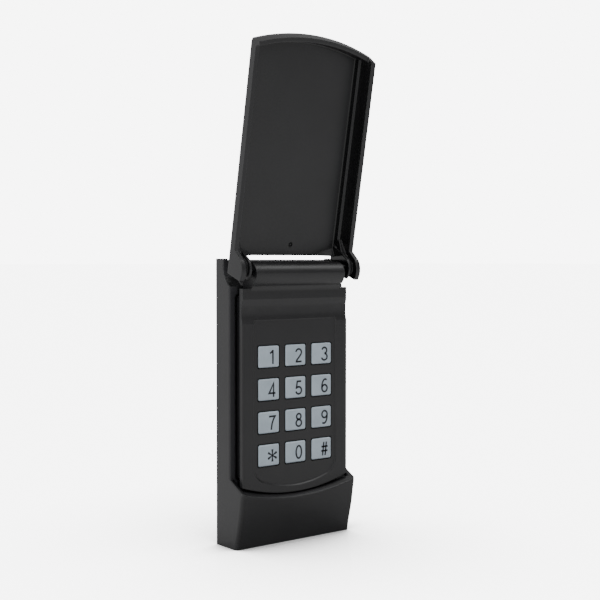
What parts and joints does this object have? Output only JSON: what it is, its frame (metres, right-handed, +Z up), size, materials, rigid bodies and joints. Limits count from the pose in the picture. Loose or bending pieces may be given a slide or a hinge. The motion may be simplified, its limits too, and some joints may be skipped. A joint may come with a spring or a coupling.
{
  "type": "flip-cover keypad",
  "caption": "Wall keypad with a hinged flip-up cover, silver keys on a dark raised front shell, and a curved chin below.",
  "frame": {"origin": "middle of the back face's lower edge, where the wall plane meets the base", "axes": "+Z up, +Y out of the back toward the wall, the keys face -Y"},
  "size_m": [0.0688, 0.0336, 0.2315],
  "materials": {
    "case": "fine satin",
    "seal": "dull",
    "steel": "bright",
    "silicone": "dull",
    "gold": "plated",
    "board": "solder mask",
    "chip": "moulded",
    "can": "satin",
    "copper": "enamelled",
    "cell": "printed sleeve",
    "nickel": "plated",
    "red_wire": "insulation",
    "black_wire": "insulation",
    "key": "satin"
  },
  "bodies": {
    "case": {"rear_housing": "case", "front_plate": "case", "case_seal": "seal", "key_mat": "silicone", "contact_pads": "gold", "circuit_board": "board", "control_chip": "chip", "radio_chip": "chip", "crystal": "can", "capacitors": "can", "antenna_wire": "copper", "lower_cell": "cell", "upper_cell": "cell", "lower_spring": "nickel", "upper_spring": "nickel", "contact_plate_left": "nickel", "contact_plate_right": "nickel", "red_lead": "red_wire", "black_lead": "black_wire", "case_screws": "steel", "board_screws": "steel"},
    "cover": {"flip_cover": "case", "hinge_pin_left": "steel", "hinge_pin_right": "steel"},
    "door": {"cell_door": "case"},
    "button_1": {"key_1": "key"},
    "button_2": {"key_2": "key"},
    "button_3": {"key_3": "key"},
    "button_4": {"key_4": "key"},
    "button_5": {"key_5": "key"},
    "button_6": {"key_6": "key"},
    "button_7": {"key_7": "key"},
    "button_8": {"key_8": "key"},
    "button_9": {"key_9": "key"},
    "button_star": {"key_star": "key"},
    "button_0": {"key_0": "key"},
    "button_hash": {"key_hash": "key"}
  },
  "joints": [
    {"name": "cover_hinge", "type": "hinge", "parent": "case", "child": "cover", "pos_m": [0, -0.01573, 0.12679], "axis": [1, 0, 0], "range_deg": [0, 169.44]},
    {"name": "door_pull", "type": "slide", "parent": "case", "child": "door", "axis": [0, 1, 0], "range_m": [0, 0.012]},
    {"name": "press_1", "type": "slide", "parent": "case", "child": "button_1", "axis": [0, 1, 0], "range_m": [0, 0.0008], "stiffness_N_per_m": 1200, "springref_m": -0.0003},
    {"name": "press_2", "type": "slide", "parent": "case", "child": "button_2", "axis": [0, 1, 0], "range_m": [0, 0.0008], "stiffness_N_per_m": 1200, "springref_m": -0.0003},
    {"name": "press_3", "type": "slide", "parent": "case", "child": "button_3", "axis": [0, 1, 0], "range_m": [0, 0.0008], "stiffness_N_per_m": 1200, "springref_m": -0.0003},
    {"name": "press_4", "type": "slide", "parent": "case", "child": "button_4", "axis": [0, 1, 0], "range_m": [0, 0.0008], "stiffness_N_per_m": 1200, "springref_m": -0.0003},
    {"name": "press_5", "type": "slide", "parent": "case", "child": "button_5", "axis": [0, 1, 0], "range_m": [0, 0.0008], "stiffness_N_per_m": 1200, "springref_m": -0.0003},
    {"name": "press_6", "type": "slide", "parent": "case", "child": "button_6", "axis": [0, 1, 0], "range_m": [0, 0.0008], "stiffness_N_per_m": 1200, "springref_m": -0.0003},
    {"name": "press_7", "type": "slide", "parent": "case", "child": "button_7", "axis": [0, 1, 0], "range_m": [0, 0.0008], "stiffness_N_per_m": 1200, "springref_m": -0.0003},
    {"name": "press_8", "type": "slide", "parent": "case", "child": "button_8", "axis": [0, 1, 0], "range_m": [0, 0.0008], "stiffness_N_per_m": 1200, "springref_m": -0.0003},
    {"name": "press_9", "type": "slide", "parent": "case", "child": "button_9", "axis": [0, 1, 0], "range_m": [0, 0.0008], "stiffness_N_per_m": 1200, "springref_m": -0.0003},
    {"name": "press_star", "type": "slide", "parent": "case", "child": "button_star", "axis": [0, 1, 0], "range_m": [0, 0.0008], "stiffness_N_per_m": 1200, "springref_m": -0.0003},
    {"name": "press_0", "type": "slide", "parent": "case", "child": "button_0", "axis": [0, 1, 0], "range_m": [0, 0.0008], "stiffness_N_per_m": 1200, "springref_m": -0.0003},
    {"name": "press_hash", "type": "slide", "parent": "case", "child": "button_hash", "axis": [0, 1, 0], "range_m": [0, 0.0008], "stiffness_N_per_m": 1200, "springref_m": -0.0003}
  ]
}
